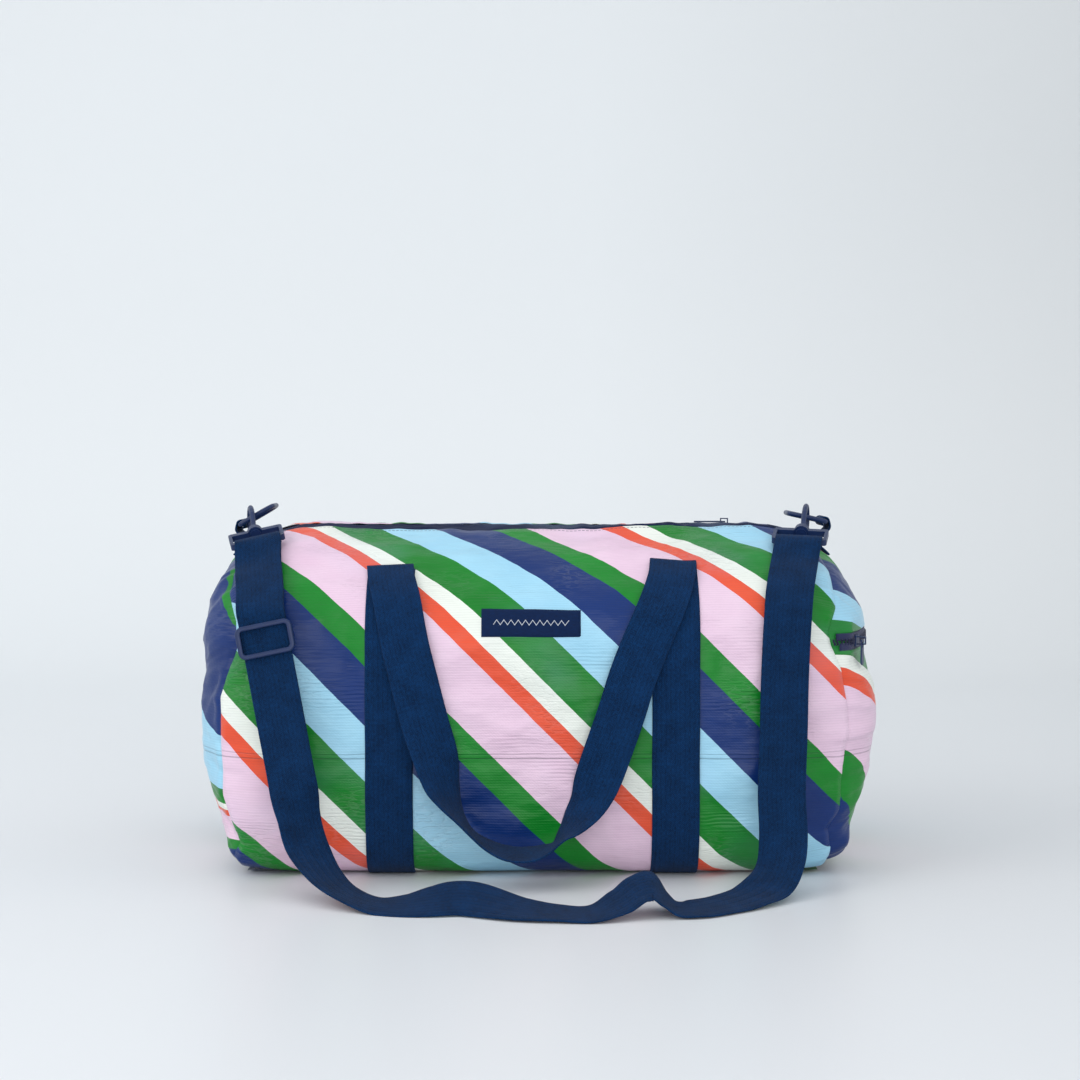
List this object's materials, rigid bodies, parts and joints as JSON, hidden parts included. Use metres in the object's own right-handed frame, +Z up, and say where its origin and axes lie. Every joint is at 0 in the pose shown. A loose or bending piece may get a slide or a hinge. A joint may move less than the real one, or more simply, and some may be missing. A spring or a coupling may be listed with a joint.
{
  "type": "weekender bag",
  "caption": "Soft duffel-style weekender bag in diagonally striped laminated fabric, with webbing carry handles, a clip-on adjustable shoulder strap, a top zip and an end pocket.",
  "frame": {"origin": "on the floor under the centre of the bag", "axes": "+X along the bag towards the end with the pocket, -Y the front with the label, +Z up"},
  "size_m": [0.5652, 0.4707, 0.2991],
  "materials": {
    "printed_fabric": "laminated woven polypropylene, diagonal stripes in pink, coral, white, green, light blue and navy, slight gloss",
    "navy_webbing": "navy herringbone polyester webbing, matt",
    "woven_label": "navy damask label with a plain woven border, no lettering",
    "pocket_lining": "dark lining cloth",
    "zip_tape": "dark navy knitted zip tape",
    "zip_teeth": "dark navy nylon coil",
    "navy_plastic": "moulded navy acetal, satin gloss"
  },
  "bodies": {
    "bag": {"front_panel": "printed_fabric", "back_panel": "printed_fabric", "base_panel": "printed_fabric", "front_top_strip": "printed_fabric", "back_top_strip": "printed_fabric", "left_end_panel": "printed_fabric", "right_end_upper": "printed_fabric", "right_end_lower": "printed_fabric", "left_seam_binding": "zip_tape", "right_seam_binding": "zip_tape", "front_zip_tape": "zip_tape", "back_zip_tape": "zip_tape", "front_zip_teeth": "zip_teeth", "back_zip_teeth": "zip_teeth", "left_zip_end_cover": "printed_fabric", "right_zip_end_cover": "printed_fabric", "pocket_tape_upper": "zip_tape", "pocket_tape_lower": "zip_tape", "pocket_teeth_upper": "zip_teeth", "pocket_teeth_lower": "zip_teeth", "pocket_backing": "pocket_lining", "front_left_band": "navy_webbing", "front_right_band": "navy_webbing", "back_left_band": "navy_webbing", "back_right_band": "navy_webbing", "base_left_band": "navy_webbing", "base_right_band": "navy_webbing", "front_label": "woven_label", "left_ring_tab": "navy_webbing", "right_ring_tab": "navy_webbing"},
    "main_zip_slider": {"zip_slider": "navy_plastic"},
    "main_zip_pull": {"zip_pull": "navy_plastic"},
    "pocket_zip_slider": {"pocket_slider": "navy_plastic"},
    "pocket_zip_pull": {"pocket_pull": "navy_plastic"},
    "left_ring": {"left_d_ring": "navy_plastic"},
    "right_ring": {"right_d_ring": "navy_plastic"},
    "strap": {"shoulder_strap": "navy_webbing", "strap_return": "navy_webbing", "strap_end_fold": "navy_webbing", "left_hook_frame": "navy_plastic", "right_hook_frame": "navy_plastic"},
    "left_hook": {"left_snap_hook": "navy_plastic"},
    "right_hook": {"right_snap_hook": "navy_plastic"},
    "left_gate": {"left_hook_gate": "navy_plastic"},
    "right_gate": {"right_hook_gate": "navy_plastic"},
    "adjuster": {"tri_glide": "navy_plastic"},
    "front_handle": {"front_handle": "navy_webbing"},
    "back_handle": {"back_handle": "navy_webbing"}
  },
  "joints": [
    {"name": "main_zip_slide", "type": "slide", "parent": "bag", "child": "main_zip_slider", "axis": [-1, 0, 0], "range_m": [0, 0.355]},
    {"name": "main_zip_pull_flip", "type": "hinge", "parent": "main_zip_slider", "child": "main_zip_pull", "pos_m": [0.165, 0, 0.2829], "axis": [0, 1, 0], "range_deg": [0, 170]},
    {"name": "pocket_zip_slide", "type": "hinge", "parent": "bag", "child": "pocket_zip_slider", "pos_m": [0.014, 0, 0.19], "axis": [0, 0, 1], "range_deg": [0, 45]},
    {"name": "pocket_zip_pull_lift", "type": "hinge", "parent": "pocket_zip_slider", "child": "pocket_zip_pull", "pos_m": [0.26798, -0.10544, 0.19], "axis": [-0.3834, -0.9236, 0], "range_deg": [0, 120]},
    {"name": "left_ring_tilt", "type": "hinge", "parent": "bag", "child": "left_ring", "pos_m": [-0.25, 0, 0.281], "axis": [0, -1, 0], "range_deg": [0, 5]},
    {"name": "right_ring_tilt", "type": "hinge", "parent": "bag", "child": "right_ring", "pos_m": [0.25, 0, 0.2836], "axis": [0, 1, 0], "range_deg": [0, 5]},
    {"name": "strap_lift", "type": "hinge", "parent": "bag", "child": "strap", "pos_m": [-0.00395, -0.0215, 0.2869], "axis": [-1, 0, -0.003], "range_deg": [0, 150]},
    {"name": "left_hook_swivel", "type": "hinge", "parent": "strap", "child": "left_hook", "pos_m": [-0.2409, -0.0215, 0.2862], "axis": [0.23, -0.936, -0.2665], "range_deg": [-6, 6]},
    {"name": "right_hook_swivel", "type": "hinge", "parent": "strap", "child": "right_hook", "pos_m": [0.233, -0.0215, 0.2876], "axis": [-0.2159, -0.9355, -0.2798], "range_deg": [0, 6]},
    {"name": "left_gate_open", "type": "hinge", "parent": "left_hook", "child": "left_gate", "pos_m": [-0.23552, -0.04338, 0.27577], "axis": [0.9711, 0.2387, 0], "range_deg": [0, 13], "stiffness_Nm_per_rad": 0.05, "springref_deg": -17.19},
    {"name": "right_gate_open", "type": "hinge", "parent": "right_hook", "child": "right_gate", "pos_m": [0.22797, -0.04331, 0.27686], "axis": [0.9744, -0.2249, 0], "range_deg": [0, 13], "stiffness_Nm_per_rad": 0.05, "springref_deg": -17.19},
    {"name": "strap_adjust", "type": "slide", "parent": "strap", "child": "adjuster", "axis": [0.201, -0.1628, -0.966], "range_m": [0, 0.1], "deforming": ["strap_return"]},
    {"name": "front_handle_lift", "type": "hinge", "parent": "bag", "child": "front_handle", "pos_m": [0, -0.0987, 0.2549], "axis": [-1, 0, 0], "range_deg": [0, 165]},
    {"name": "back_handle_lift", "type": "hinge", "parent": "bag", "child": "back_handle", "pos_m": [0, 0.0987, 0.2549], "axis": [1, 0, 0], "range_deg": [0, 165]}
  ]
}
